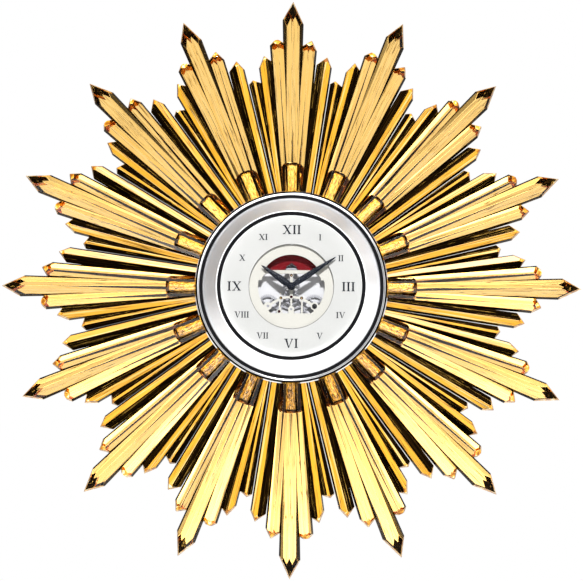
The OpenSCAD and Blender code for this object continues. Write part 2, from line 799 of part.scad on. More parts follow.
// A barrel: great wheel as its lid and a drum behind it that is open at the back
module barrel(s) {
    drum_r = middle_m * barrel_teeth / 2 - 1;
    color("gold") facing() at(side_at(barrel_at, s)) rotate([0, 0, -barrel_angle(s)]) difference() {
        union() {
            translate([0, 0, great_z])
                linear_extrude(1.5) gear_outline(barrel_teeth, middle_m, WHEEL_TOOTH);
            translate([0, 0, drum_low_z]) cylinder(r = drum_r, h = great_z - drum_low_z + 0.1);
        }
        translate([0, 0, drum_low_z - 1]) cylinder(r = drum_r - 1.1, h = great_z - drum_low_z);
        translate([0, 0, drum_low_z - 1]) cylinder(r = barrel_arbor_r + running, h = train_gap);
    }
}

module mainspring(s) {
    drum_r = middle_m * barrel_teeth / 2 - 1;
    color("steelblue") facing() at(side_at(barrel_at, s), drum_low_z + 1)
        linear_extrude(great_z - drum_low_z - 2.4)
            spiral_outline(barrel_arbor_r + 2.5, drum_r - 1.25, 9, 0.3);
}

// A barrel arbor with its ratchet wheel in front of the front plate
module winding_arbor(s) {
    turn = mesh_angle(crown_at, side_at(barrel_at, s), 0, crown_teeth, crown_teeth);
    color("silver") facing() at(side_at(barrel_at, s)) {
        translate([0, 0, main_back_z - 0.5])
            cylinder(r = barrel_arbor_r, h = centre_z + 0.4 - main_back_z);
        translate([0, 0, level(0.12)]) cylinder(r = barrel_arbor_r + 1.2, h = level(0.55) - level(0.12));
        rotate([0, 0, -turn]) wheel(crown_teeth, crown_m, winding_z, winding_t, 5, 3.4, 1.8);
    }
}

module crown_wheel() {
    color("silver") facing() at(crown_at) {
        wheel(crown_teeth, crown_m, winding_z, winding_t, 5, 3, 1.8);
        translate([0, 0, front_back_z - 0.5])
            cylinder(r = 2 * arbor_r, h = centre_z + 0.6 - front_back_z);
    }
}

// The click that stops the crown wheel from running back
module click() {
    reach = crown_m * (crown_teeth / 2 + WHEEL_TOOTH[0]) + 0.15;
    toward = (click_at - crown_at) / norm(click_at - crown_at);
    aside = [-toward[1], toward[0]];
    tip = crown_at + toward * (reach + 0.3) + aside * 3;
    color("steelblue") facing() difference() {
        union() {
            bar(click_at, tip, 1.6, winding_z, 1.4);
            at(click_at, winding_z) cylinder(r = 1.8, h = 1.4);
            at(click_at, front_back_z + 0.2) cylinder(r = arbor_r - running, h = 4);
        }
        at(crown_at, winding_z - 1) cylinder(r = reach, h = 4);
    }
}

module intermediate(s) {
    z = s < 0 ? middle_left_z : middle_right_z;
    color("gold") facing() at(side_at(middle_at, s)) rotate([0, 0, -middle_angle(s)]) {
        wheel(middle_teeth, centre_m, z, wheel_t, 5, 3, 1.6);
        pinion(middle_leaves, middle_m, great_z - leaf_over, 1.5 + 2 * leaf_over);
        arbor(arbor_r, main_z, centre_back_z);
    }
}

module centre_wheel() {
    color("gold") facing() {
        wheel(centre_teeth, third_m, centre_wheel_z, wheel_t, 4, 2.6, 1.2);
        pinion(
            centre_leaves, centre_m, middle_left_z - leaf_over,
            middle_right_z - middle_left_z + wheel_t + 2 * leaf_over
        );
        translate([0, 0, main_z + end_shake])
            cylinder(r = centre_arbor_r, h = minute_hand_z + hand_t + 0.6 - main_z - end_shake);
        translate([0, 0, main_z - pivot_in]) cylinder(r = pivot_r, h = pivot_in + 1);
    }
}

module third_wheel() {
    color("gold") facing() at(third_at) rotate([0, 0, -third_angle]) {
        wheel(third_teeth, fourth_m, third_wheel_z, wheel_t, 4, 2, 1.1);
        pinion(third_leaves, third_m, centre_wheel_z - leaf_over, wheel_t + 2 * leaf_over);
        arbor(arbor_r, main_z, front_back_z);
    }
}

module fourth_wheel() {
    color("gold") facing() at(fourth_at) rotate([0, 0, -fourth_angle]) {
        wheel(fourth_teeth, escape_m, fourth_wheel_z, wheel_t, 4, 2, 1.1);
        pinion(fourth_leaves, fourth_m, third_wheel_z - leaf_over, wheel_t + 2 * leaf_over);
        arbor(arbor_r, main_z, front_back_z);
    }
}

module escape_wheel() {
    t = 0.8;
    color("gold") facing() at(escape_at) rotate([0, 0, -escape_angle]) {
        translate([0, 0, escape_wheel_z]) linear_extrude(t) polygon([
            for (k = [0 : escape_teeth - 1], c = ESCAPE_TOOTH)
                let (a = (k + c[1]) * 360 / escape_teeth)
                [c[0] * escape_r * sin(a), c[0] * escape_r * cos(a)]
        ]);
        pinion(escape_leaves, escape_m, fourth_wheel_z - leaf_over, wheel_t + 2 * leaf_over);
        arbor(arbor_r, main_z, centre_back_z);
    }
}

// Lever with its two pallets just clear of the escape wheel and its fork just clear of the roller
module pallet_fork() {
    t = 1;
    z = escape_wheel_z - 0.1;
    to_balance = (balance_at - pallet_at) / norm(balance_at - pallet_at);
    fork_end = balance_at - to_balance * 3.2;
    color("silver") facing() {
        for (swing = [-34, 34]) {
            a = bearing(escape_at, pallet_at) + swing;
            bar(pallet_at, escape_at + polar(a, escape_r + 0.95), 1, z, t);
        }
        bar(pallet_at, fork_end, 1, z, t);
        at(pallet_at) arbor(arbor_r, main_z, front_back_z);
    }
}

module balance_wheel() {
    rim_r = 9.3;
    color("gold") facing() at(balance_at) {
        ring(rim_r, rim_r - 1.3, balance_z, 2);
        translate([-rim_r + 0.5, -0.7, balance_z]) cube([2 * rim_r - 1, 1.4, 1.2]);
        translate([0, 0, balance_z]) cylinder(r = 1.8, h = 1.6);
        translate([0, 0, roller_z]) cylinder(r = 2.4, h = 1);
        translate([0, 1.9, escape_wheel_z]) cylinder(r = 0.25, h = roller_z - escape_wheel_z + 0.5);
        translate([0, 0, hairspring_z - 0.4]) cylinder(r = 1.2, h = 1.6);
        arbor(arbor_r, main_z, centre_back_z - 1);
    }
}

module hairspring() {
    color("steelblue") facing() at(balance_at, hairspring_z)
        linear_extrude(0.8) spiral_outline(1.3, 6.2, 7, 0.2);
}

// ---- motion work --------------------------------------------------------------

module cannon_pinion() {
    color("silver") facing() difference() {
        union() {
            pinion(cannon_leaves, cannon_m, cannon_z, motion_t + 0.4);
            translate([0, 0, cannon_z])
                cylinder(r = cannon_pipe_r, h = minute_hand_z + hand_t - cannon_z);
        }
        translate([0, 0, cannon_z - 1]) cylinder(r = centre_arbor_r, h = 40);
    }
}

module minute_wheel() {
    color("gold") facing() at(minute_at) rotate([0, 0, -minute_wheel_angle]) difference() {
        union() {
            wheel(minute_teeth, cannon_m, cannon_z + 0.1, motion_t, 5, 2.8, 1.1);
            pinion(minute_leaves, hour_m, cannon_z + 0.5, 2.6);
        }
        translate([0, 0, cannon_z - 1]) cylinder(r = centre_arbor_r + running, h = 6);
    }
}

module hour_wheel() {
    color("gold") facing() rotate([0, 0, -hour_wheel_angle]) difference() {
        union() {
            wheel(hour_teeth, hour_m, hour_wheel_z, motion_t, 5, hour_pipe_r + 0.6, 1.1);
            translate([0, 0, hour_wheel_z])
                cylinder(r = hour_pipe_r, h = hour_hand_z + hand_t - hour_wheel_z);
        }
        translate([0, 0, hour_wheel_z - 1]) cylinder(r = cannon_pipe_r + running, h = 20);
    }
}

// ---- what is drawn ------------------------------------------------------------

back_plate();
back_plate_screws();
case_body();
ray_studs();
stud_screws();
for (k = [0 : ray_count - 1]) crystal_ray(k);
bezel();
bezel_bead();
bezel_outer_band();
bezel_inner_band();
dial_glass();
dial();
centre_plate();
jewels();
balance_cock();
red_panel();
front_plate();
main_plate();
back_spacers();
pillars();
dial_spacers();
movement_screws();
barrel(-1);  // barrel_left
barrel(1);  // barrel_right
mainspring(-1);  // mainspring_left
mainspring(1);  // mainspring_right
winding_arbor(-1);  // winding_arbor_left
winding_arbor(1);  // winding_arbor_right
crown_wheel();
click();
intermediate(-1);  // intermediate_left
intermediate(1);  // intermediate_right
centre_wheel();
third_wheel();
fourth_wheel();
escape_wheel();
pallet_fork();
balance_wheel();
hairspring();
cannon_pinion();
minute_wheel();
hour_wheel();
hour_hand();
minute_hand();
hand_nut();
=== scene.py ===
import bmesh
import bpy
import json
import math
from itertools import combinations
from mathutils import Matrix, Vector


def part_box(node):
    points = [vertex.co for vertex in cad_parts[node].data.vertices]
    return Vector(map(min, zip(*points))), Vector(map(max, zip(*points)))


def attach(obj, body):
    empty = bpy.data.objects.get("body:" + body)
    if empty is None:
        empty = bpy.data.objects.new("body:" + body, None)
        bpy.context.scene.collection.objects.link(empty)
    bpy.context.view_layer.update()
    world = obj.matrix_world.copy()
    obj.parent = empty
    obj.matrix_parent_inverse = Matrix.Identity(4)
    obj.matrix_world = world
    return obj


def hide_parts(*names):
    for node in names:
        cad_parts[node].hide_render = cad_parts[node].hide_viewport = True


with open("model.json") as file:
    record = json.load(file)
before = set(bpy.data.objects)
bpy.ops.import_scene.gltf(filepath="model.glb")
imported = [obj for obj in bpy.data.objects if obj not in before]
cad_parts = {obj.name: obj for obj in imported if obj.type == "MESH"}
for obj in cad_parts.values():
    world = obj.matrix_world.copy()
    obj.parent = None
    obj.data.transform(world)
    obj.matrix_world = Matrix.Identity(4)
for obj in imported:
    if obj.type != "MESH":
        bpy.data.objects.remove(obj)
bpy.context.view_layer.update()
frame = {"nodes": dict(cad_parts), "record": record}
NODES = frame["nodes"]

# ---------------------------------------------------------------- camera
CAM_AZIMUTH = 0.27
CAM_ELEVATION = -4.59
CAM_ROLL = 0.39
CAM_DISTANCE = 2.33
CAM_AIM = Vector((0.0001, -0.030, -0.0025))
CAM_LENS = 133.9


def make_camera():
    azimuth, elevation = math.radians(CAM_AZIMUTH), math.radians(CAM_ELEVATION)
    back = Vector((
        math.sin(azimuth) * math.cos(elevation),
        -math.cos(azimuth) * math.cos(elevation),
        math.sin(elevation),
    ))
    data = bpy.data.cameras.new("camera")
    data.lens = CAM_LENS
    data.sensor_width = 36
    data.clip_start = 0.1
    data.clip_end = 30
    camera = bpy.data.objects.new("camera", data)
    bpy.context.scene.collection.objects.link(camera)
    turn = (-back).to_track_quat("-Z", "Y").to_matrix().to_4x4()
    camera.matrix_world = Matrix.Translation(CAM_AIM + back * CAM_DISTANCE) @ turn @ Matrix.Rotation(
        math.radians(CAM_ROLL), 4, "Z"
    )
    bpy.context.scene.camera = camera


# ---------------------------------------------------------------- small helpers
STAND = Matrix(((0.001, 0, 0, 0), (0, 0, -0.001, 0), (0, 0.001, 0, 0), (0, 0, 0, 1)))
DIAL_Z = -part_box("dial")[0].y * 1000


def facing(x, y, z):
    """A point of the front view, in mm, with z its height above the wall, as a point of the frame."""
    return Vector((x / 1000, -z / 1000, y / 1000))


def link(name, mesh, materials, body="root", replaces=()):
    """Makes a mesh a named piece on a body."""
    piece = bpy.data.objects.new(name, mesh)
    bpy.context.scene.collection.objects.link(piece)
    for material in materials:
        mesh.materials.append(material)
    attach(piece, body)
    if replaces:
        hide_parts(*replaces)
    return piece


class Nodes:
    """Builds a node material around one Principled shader."""

    def __init__(self, name):
        self.material = bpy.data.materials.new(name)
        self.material.use_nodes = True
        self.tree = self.material.node_tree
        self.shader = next(n for n in self.tree.nodes if n.type == "BSDF_PRINCIPLED")
        self.output = next(n for n in self.tree.nodes if n.type == "OUTPUT_MATERIAL")

    def set(self, **values):
        for key, value in values.items():
            self.shader.inputs[key.replace("_", " ")].default_value = value
        return self

    def add(self, kind, **settings):
        node = self.tree.nodes.new(kind)
        for key, value in settings.items():
            setattr(node, key, value)
        return node

    def join(self, start, end):
        self.tree.links.new(start, end)

    def coords(self, scale=(1, 1, 1)):
        place = self.add("ShaderNodeTexCoord")
        mapping = self.add("ShaderNodeMapping")
        mapping.inputs["Scale"].default_value = scale
        self.join(place.outputs["Object"], mapping.inputs["Vector"])
        return mapping.outputs["Vector"]

    def math(self, operation, a, b=None, clamp=False):
        node = self.add("ShaderNodeMath", operation=operation, use_clamp=clamp)
        for value, socket in ((a, node.inputs[0]), (b, node.inputs[1])):
            if value is None:
                continue
            if isinstance(value, (int, float)):
                socket.default_value = value
            else:
                self.join(value, socket)
        return node.outputs[0]

    def noise(self, vector, scale, detail=3.0, rough=0.5):
        node = self.add("ShaderNodeTexNoise")
        node.inputs["Scale"].default_value = scale
        node.inputs["Detail"].default_value = detail
        node.inputs["Roughness"].default_value = rough
        self.join(vector, node.inputs["Vector"])
        return node.outputs["Fac"]

    def ramp(self, factor, *stops):
        node = self.add("ShaderNodeValToRGB")
        band = node.color_ramp
        while len(band.elements) < len(stops):
            band.elements.new(0.5)
        for element, (place, colour) in zip(band.elements, stops):
            element.position = place
            element.color = (*colour, 1)
        self.join(factor, node.inputs["Fac"])
        return node.outputs["Color"]

    def spread(self, factor, low, high):
        """Maps 0..1 to low..high."""
        node = self.add("ShaderNodeMapRange")
        node.inputs["To Min"].default_value = low
        node.inputs["To Max"].default_value = high
        self.join(factor, node.inputs["Value"])
        return node.outputs["Result"]

    def bump(self, height, strength, distance):
        node = self.add("ShaderNodeBump")
        node.inputs["Strength"].default_value = strength
        node.inputs["Distance"].default_value = distance
        self.join(height, node.inputs["Height"])
        self.join(node.outputs["Normal"], self.shader.inputs["Normal"])
        return self

    def colour(self, output):
        self.join(output, self.shader.inputs["Base Color"])
        return self

    def rough(self, output):
        self.join(output, self.shader.inputs["Roughness"])
        return self

    def radius(self):
        """Distance from the axis of the hands, and the coordinates it comes from."""
        place = self.add("ShaderNodeTexCoord")
        split = self.add("ShaderNodeSeparateXYZ")
        self.join(place.outputs["Object"], split.inputs[0])
        squares = [self.math("MULTIPLY", split.outputs[k], split.outputs[k]) for k in ("X", "Z")]
        return self.math("SQRT", self.math("ADD", *squares)), split


# ---------------------------------------------------------------- crystals
RAY_COUNT = 16
RAY_STEP = 360 / RAY_COUNT
TIP_R = 310
ROOT_R = 103.3
STUD_Z = 35
STUD_R = 10.2
STUD_END = ROOT_R + 31.2
BORE_START = 60
BORE_ROUND = 5
EDGE_BEVEL = 0.22
HALF_FRONT = 13
HALF_BACK = 12.2
WAIST_FALL = 9
BACK_SHARE = 0.6
BACK_RISE = 0.35
ROOT_SUNK = 6
# One row for each prism of a crystal, from left to right when it points up:
#   angle at tip, reach as a share of TIP_R, angle at root, half width at tip and at root (degrees),
#   ridge drop (mm),
#   front section between the flanks as (share of half width, fall in mm),
#   point: (sideways place of the point, length of its left wall, of its right wall,
#   half width of its chisel edge),
#   end cut: (where it starts behind the tip, how much it falls over that length)
PRISMS = [
    (-10.5, 0.737, -8.4, 2.1, 4.0, 2.6, ((-0.55, 3.5), (-0.12, 0.2), (0.12, 0.0), (0.5, 3.2)),
     (-1.5, 5, 5.5, 0.3), (5.0, 2.6)),
    (-6.9, 0.815, -6.0, 2.0, 3.6, 1.9, ((-0.75, 1.4), (-0.05, 0.0), (0.3, 2.8)),
     (-0.9, 13, 8.5, 0.3), (7.0, 3.6)),
    (-3.7, 0.864, -3.3, 1.9, 3.4, 1.1, ((-0.62, 0.9), (0.05, 0.0), (0.7, 1.5)),
     (0.0, 5.0, 4.0, 3.6), (5.0, 2.6)),
    (0, 1, 0, 2.5, 3.9, 0, ((-0.65, 1.7), (0.0, 0.0), (0.65, 1.7)),
     (0.0, 22, 27, 0.1), (18.0, 3.2)),
    (3.9, 0.864, 3.8, 2.0, 3.4, 0.8, ((-0.7, 1.5), (0.0, 0.0), (0.62, 0.9)),
     (1.8, 7, 11.5, 0.8), (6.5, 3.3)),
    (8.0, 0.814, 8.2, 2.1, 4.3, 1.6, ((-0.3, 2.9), (0.05, 0.0), (0.75, 1.3)),
     (2.0, 10, 11.5, 0.3), (7.0, 3.6)),
]
PROW_LEAN = math.radians(12)


def polar(angle, r):
    a = math.radians(angle)
    return Vector((r * math.sin(a), r * math.cos(a), 0))


def plane(point, normal):
    """A half space: what lies behind the plane stays."""
    n = normal.normalized()
    return n, n.dot(point)


def plane3(a, b, c, inside):
    """The plane through three points, turned so that inside is behind it."""
    n = (b - a).cross(c - a).normalized()
    if n.dot(inside - a) > 0:
        n = -n
    return n, n.dot(a)


# Planes nearly parallel meet nowhere; points as near as this are one point or lie on the plane (mm)
PARALLEL = 1e-5
SAME_POINT = 1e-3


def convex_solid(planes, bevel):
    """The solid behind all the planes, with its edges slightly bevelled."""
    points = []
    for (n1, d1), (n2, d2), (n3, d3) in combinations(planes, 3):
        bottom = n1.dot(n2.cross(n3))
        if abs(bottom) < PARALLEL:
            continue
        p = (n2.cross(n3) * d1 + n3.cross(n1) * d2 + n1.cross(n2) * d3) / bottom
        if all(n.dot(p) <= d + SAME_POINT for n, d in planes):
            if all((p - q).length > SAME_POINT for q in points):
                points.append(p)
    bm = bmesh.new()
    for p in points:
        bm.verts.new(p)
    bmesh.ops.convex_hull(bm, input=bm.verts)
    bmesh.ops.dissolve_limit(bm, angle_limit=0.004, verts=bm.verts, edges=bm.edges)
    bmesh.ops.recalc_face_normals(bm, faces=bm.faces)
    if bevel:
        bmesh.ops.bevel(
            bm, geom=bm.edges[:], offset=bevel, segments=1, profile=0.5, affect="EDGES", clamp_overlap=True
        )
    return bm


def prism_planes(tip_a, reach, root_a, half_tip_a, half_root_a, drop, section, point, end_cut):
    tip, root = polar(tip_a, reach * TIP_R), polar(root_a, ROOT_R - ROOT_SUNK)
    along = (tip - root).normalized()
    across = Vector((along.y, -along.x, 0))
    up = Vector((0, 0, 1))
    apex_u, left_l, right_l, chisel = point
    shoulder = tip - along * (left_l + right_l) / 2
    half_root = root.length * math.tan(math.radians(half_root_a))
    half_tip = shoulder.length * math.tan(math.radians(half_tip_a))
    ridge = STUD_Z + HALF_FRONT - drop
    low = STUD_Z - HALF_BACK + drop * BACK_RISE
    middle = (root + shoulder) / 2 + up * STUD_Z

    def at(base, half, share, z):
        return base + across * share * half + up * z

    outline = [
        (-BACK_SHARE, ridge - low), (-1, WAIST_FALL), *section, (1, WAIST_FALL), (BACK_SHARE, ridge - low),
    ]
    planes = [plane(root, -along), plane(up * low, -up), plane(tip, along)]
    for (share_a, fall_a), (share_b, fall_b) in zip(outline, outline[1:]):
        planes.append(plane3(
            at(root, half_root, share_a, ridge - fall_a), at(root, half_root, share_b, ridge - fall_b),
            at(shoulder, half_tip, (share_a + share_b) / 2, ridge - (fall_a + fall_b) / 2), middle,
        ))
    # the two walls of the point lean back a little, so that they show as narrow bands
    for s, wall_l in ((-1, left_l), (1, right_l)):
        base = tip - along * wall_l
        half = base.length * math.tan(math.radians(half_tip_a))
        side = base + across * s * half + up * (ridge - WAIST_FALL)
        end = tip + across * (apex_u + s * chisel) + up * (ridge - WAIST_FALL)
        wall = (end - side).cross(up).normalized()
        wall = wall if wall.dot(across) * s > 0 else -wall
        planes.append(plane(side, wall * math.cos(PROW_LEAN) + up * math.sin(PROW_LEAN)))
        planes.append(plane(side, wall * math.cos(PROW_LEAN) - up * math.sin(PROW_LEAN)))
    start, fall = end_cut
    cut = tip - along * start + up * ridge
    planes.append(plane(cut, up * start + along * fall))
    return planes


def mesh_from(bm, name):
    mesh = bpy.data.meshes.new(name)
    bm.to_mesh(mesh)
    bm.free()
    return mesh


def combine(target, tools, operation):
    """Applies exact booleans to the target mesh and returns the new mesh."""
    base = bpy.data.objects.new("cut_target", target)
    bpy.context.scene.collection.objects.link(base)
    helpers = [base]
    for tool in tools:
        helper = bpy.data.objects.new("cut_tool", tool)
        bpy.context.scene.collection.objects.link(helper)
        helpers.append(helper)
        modifier = base.modifiers.new("cut", "BOOLEAN")
        modifier.operation = operation
        modifier.solver = "EXACT"
        modifier.object = helper
    bpy.context.view_layer.update()
    graph = bpy.context.evaluated_depsgraph_get()
    result = bpy.data.meshes.new_from_object(base.evaluated_get(graph))
    for helper in helpers:
        bpy.data.objects.remove(helper)
    return result


def lathe(profile, segments, name, axis_turn=None):
    """A closed solid of revolution about z from (r, z) points, in the order that they are drawn."""
    bm = bmesh.new()
    rings = []
    for r, z in profile:
        if r < 1e-6:
            rings.append([bm.verts.new((0, 0, z))])
        else:
            rings.append([
                bm.verts.new((r * math.cos(t), r * math.sin(t), z))
                for t in (2 * math.pi * k / segments for k in range(segments))
            ])
    pairs = list(zip(rings, rings[1:]))
    if profile[0][0] > 1e-6:
        pairs.append((rings[-1], rings[0]))
    for a, b in pairs:
        for k in range(segments):
            loop = [a[k % len(a)], a[(k + 1) % len(a)], b[(k + 1) % len(b)], b[k % len(b)]]
            corners = []
            for v in loop:
                if v not in corners:
                    corners.append(v)
            if len(corners) > 2:
                bm.faces.new(corners)
    bmesh.ops.recalc_face_normals(bm, faces=bm.faces)
    if axis_turn:
        bmesh.ops.transform(bm, matrix=axis_turn, verts=bm.verts)
    return mesh_from(bm, name)


# The joint between two crystals, as the angle and radius of two points on it, and half the gap left there
JOINT_ROOT, JOINT_OUT = (-10.3, ROOT_R), (-12.15, 215.3)
HALF_GAP = 0.3
ROOM_INWARD, ROOM_OUTWARD, ROOM_H = 20, 260, 80


def ray_room():
    """The wedge that one crystal may take between its neighbours."""
    root, out = polar(*JOINT_ROOT), polar(*JOINT_OUT)
    lean = (out - root).normalized()
    side = Vector((lean.y, -lean.x, 0)) * HALF_GAP
    turn = Matrix.Rotation(math.radians(-RAY_STEP), 3, "Z")
    near, far = root - ROOM_INWARD * lean, root + ROOM_OUTWARD * lean
    outline = [near + side, far + side, turn @ (far - side), turn @ (near - side)]
    bm = bmesh.new()
    low = [bm.verts.new(p) for p in outline]
    high = [bm.verts.new(p + Vector((0, 0, ROOM_H))) for p in outline]
    bm.faces.new(low)
    bm.faces.new(high)
    for k in range(4):
        bm.faces.new((low[k], low[(k + 1) % 4], high[(k + 1) % 4], high[k]))
    bmesh.ops.recalc_face_normals(bm, faces=bm.faces)
    return mesh_from(bm, "room")


def ray_mesh():
    """One crystal, pointing up in the front view, in mm."""
    parts = [mesh_from(convex_solid(prism_planes(*p), EDGE_BEVEL), "prism") for p in PRISMS]
    solid = combine(parts[3], parts[:3] + parts[4:], "UNION")
    solid = combine(solid, [ray_room()], "INTERSECT")
    case = lathe([(0, -10), (ROOT_R, -10), (ROOT_R, 90), (0, 90)], 512, "case")
    along_y = Matrix.Translation((0, 0, STUD_Z)) @ Matrix.Rotation(math.radians(-90), 4, "X")
    r, round_r = STUD_R, BORE_ROUND
    bore = lathe(
        [(0, BORE_START), (r, BORE_START)] + [
            (r - round_r + round_r * math.cos(t), STUD_END - round_r + round_r * math.sin(t))
            for t in (math.radians(15 * k) for k in range(7))
        ] + [(0, STUD_END)],
        48, "bore", along_y,
    )
    return combine(solid, [case, bore], "DIFFERENCE")


# The finishes of a crystal's faces, and the slopes and places that part them, in the front view
CLEAR, GILT, DARK, AMBER, TIP = 0, 1, 2, 3, 4
NEAR_CUT = 0.3
OUTER_ANGLE = 5.4
STEEPEST_CLEAR = 0.80
BACK_LEAN = -0.05
END_LEAN = 0.3
END_FRONT = 0.2
KITE_LEAN = 0.1
KITE_FROM = TIP_R - 25


def finish_of(face):
    """Which finish a face has: clear or amber in front, gilding behind, painted dark reflection on the flanks
    and the kite.
    """
    n, c = face.normal, face.center
    in_bore = math.hypot(c.x, c.z - STUD_Z) < STUD_R + NEAR_CUT and c.y < STUD_END + NEAR_CUT
    at_case = math.hypot(c.x, c.y) < ROOT_R + NEAR_CUT
    if in_bore or at_case:
        return CLEAR
    if n.z < BACK_LEAN:
        return GILT
    # painted dark reflection: the kite faces near the tip get the opaque black finish
    if c.y > KITE_FROM and n.y > KITE_LEAN and n.z > STEEPEST_CLEAR:
        return DARK
    if n.y > END_LEAN and n.z > END_FRONT:
        return TIP
    if n.y > END_LEAN:
        return GILT
    # painted dark reflection: steep flanks get the opaque black finish in place of glass
    if n.z < STEEPEST_CLEAR:
        return DARK
    return AMBER if abs(math.degrees(math.atan2(c.x, c.y))) > OUTER_ANGLE else CLEAR


def make_crystals(*finishes):
    base = ray_mesh()
    base.materials.clear()
    for material in finishes:
        base.materials.append(material)
    for face in base.polygons:
        face.material_index = finish_of(face)
        face.use_smooth = False
    for k in range(RAY_COUNT):
        mesh = base.copy()
        mesh.transform(STAND @ Matrix.Rotation(math.radians(-k * RAY_STEP), 4, "Z"))
        node = f"crystal_ray_{k + 1:02d}"
        crystal = link(f"ray_{k + 1:02d}_cut_crystal", mesh, [], replaces=[node])
        crystal.visible_shadow = False


def polar_noise(m, turns, along, detail=3):
    """Noise in streaks that run away from the axis of the hands."""
    r, split = m.radius()
    angle = m.math("ARCTAN2", split.outputs["X"], split.outputs["Z"])
    place = m.add("ShaderNodeCombineXYZ")
    m.join(m.math("MULTIPLY", angle, turns), place.inputs["X"])
    m.join(m.math("MULTIPLY", r, along), place.inputs["Y"])
    m.join(m.math("MULTIPLY", split.outputs["Y"], turns * 9), place.inputs["Z"])
    return m.noise(place.outputs["Vector"], 1.0, detail, 0.62)


def crystal_clear():
    """Colourless glass with fine gold lines."""
    m = Nodes("crystal_clear")
    m.set(Roughness=0.0, IOR=1.54, Transmission_Weight=1.0)
    lines = polar_noise(m, 70, 9, 2)
    clear, line = (1.0, 0.985, 0.95), (0.80, 0.66, 0.42)
    m.colour(m.ramp(lines, (0.44, clear), (0.46, line), (0.48, clear)))
    return m.material


def crystal_gilt():
    """The gilding behind, with brown lines."""
    m = Nodes("crystal_gilt")
    m.set(Metallic=1.0, Roughness=0.04)
    lines = polar_noise(m, 75, 6, 2)
    gold, shade = (1.0, 0.655, 0.215), (0.16, 0.075, 0.012)
    m.colour(m.ramp(lines, (0.30, (1.0, 0.62, 0.17)), (0.525, gold), (0.54, shade), (0.555, gold),
                    (0.66, (1.0, 0.69, 0.26)), (0.675, shade), (0.69, gold)))
    return m.material


def crystal_painted_dark():
    """Painted dark reflection: opaque black on faces where the glass would reflect the dark room, with a few
    gold lines.
    """
    m = Nodes("crystal_painted_dark")
    m.set(Roughness=0.08, Specular_IOR_Level=0.03)
    lines = polar_noise(m, 95, 7, 2)
    black, brown, gold = (0.0035, 0.0018, 0.0006), (0.035, 0.016, 0.003), (0.62, 0.36, 0.07)
    m.colour(m.ramp(lines, (0.0, black), (0.36, black), (0.40, brown), (0.44, black), (0.635, black),
                    (0.65, gold), (0.67, brown), (0.70, black)))
    return m.material


def crystal_amber():
    """Front faces of the outer prisms, gold over the whole face."""
    m = Nodes("crystal_amber")
    m.set(Coat_Weight=0.15, Coat_Roughness=0.3, Specular_IOR_Level=0.15)
    lines = polar_noise(m, 70, 6, 2)
    gold, pale, shade = (0.64, 0.31, 0.022), (0.70, 0.47, 0.16), (0.05, 0.022, 0.003)
    m.colour(m.ramp(lines, (0.34, pale), (0.43, gold), (0.45, shade), (0.475, gold), (0.60, gold),
                    (0.62, shade), (0.64, pale)))
    m.rough(m.spread(lines, 0.3, 0.45))
    return m.material


def crystal_tip():
    """The short cuts at the ends of the prisms, in patches of brown and gold."""
    m = Nodes("crystal_tip")
    m.set(Coat_Weight=0.3, Coat_Roughness=0.2, Specular_IOR_Level=0.3)
    patches = m.noise(m.coords(), 190, 2)
    brown, gold = (0.30, 0.095, 0.004), (0.62, 0.27, 0.015)
    pale, light = (0.80, 0.46, 0.07), (0.95, 0.80, 0.50)
    m.colour(m.ramp(patches, (0.40, brown), (0.48, gold), (0.60, pale), (0.64, light)))
    m.rough(m.spread(patches, 0.35, 0.2))
    return m.material


# ---------------------------------------------------------------- metals, lacquers and glass
def turned(name, colour, metallic, roughness, ring_scale=2400, depth=0.00002, spread=0.03, **more):
    """Metal or lacquer turned on a lathe round the axis of the hands."""
    m = Nodes(name)
    m.set(Metallic=metallic, **more)
    r, split = m.radius()
    wobble = m.noise(m.coords(), 60, 2)
    rings = m.add("ShaderNodeTexNoise", noise_dimensions="1D")
    rings.inputs["Scale"].default_value = ring_scale
    rings.inputs["Detail"].default_value = 2
    m.join(m.math("ADD", r, m.math("MULTIPLY", wobble, 0.0002)), rings.inputs["W"])
    fine = rings.outputs["Fac"]
    low = tuple(c * (1 - spread) for c in colour)
    high = tuple(min(1.0, c * (1 + spread)) for c in colour)
    m.colour(m.ramp(m.math("ADD", m.math("MULTIPLY", fine, 0.6), m.math("MULTIPLY", wobble, 0.4)),
                    (0.35, low), (0.65, high)))
    m.rough(m.spread(fine, roughness * 0.85, roughness * 1.15))
    m.bump(fine, 0.25, depth)
    return m.material


def grained(name, colour, metallic, roughness, scale=700, depth=0.00002, spread=0.05, **more):
    """A fine even grain, with slow cloudiness."""
    m = Nodes(name)
    m.set(Metallic=metallic, **more)
    where = m.coords()
    fine, slow = m.noise(where, scale, 4, 0.6), m.noise(where, 30, 2)
    mixed = m.math("ADD", m.math("MULTIPLY", fine, 0.5), m.math("MULTIPLY", slow, 0.5))
    low = tuple(c * (1 - spread) for c in colour)
    high = tuple(min(1.0, c * (1 + spread)) for c in colour)
    m.colour(m.ramp(mixed, (0.38, low), (0.62, high)))
    m.rough(m.spread(slow, roughness * 0.8, roughness * 1.2))
    m.bump(fine, 0.3, depth)
    return m.material


def brushed(name, colour, metallic, roughness, direction=(40, 40, 1600), **more):
    """Straight brushing."""
    m = Nodes(name)
    m.set(Metallic=metallic, **more)
    lines = m.noise(m.coords(direction), 1.0, 3, 0.6)
    low, high = tuple(c * 0.9 for c in colour), tuple(min(1.0, c * 1.06) for c in colour)
    m.colour(m.ramp(lines, (0.35, low), (0.65, high)))
    m.rough(m.spread(lines, roughness * 0.8, roughness * 1.2))
    m.bump(lines, 0.25, 0.00002)
    return m.material


# Where a stud turns dark, and where the painted dark reflection on the bead's outer edge starts, from the axis
# of the hands (m)
STUD_DARK_R = 0.1305
BEAD_PAINTED_DARK_R = 0.1003
BEAD_PAINTED_DARK_BLUR = 0.0004


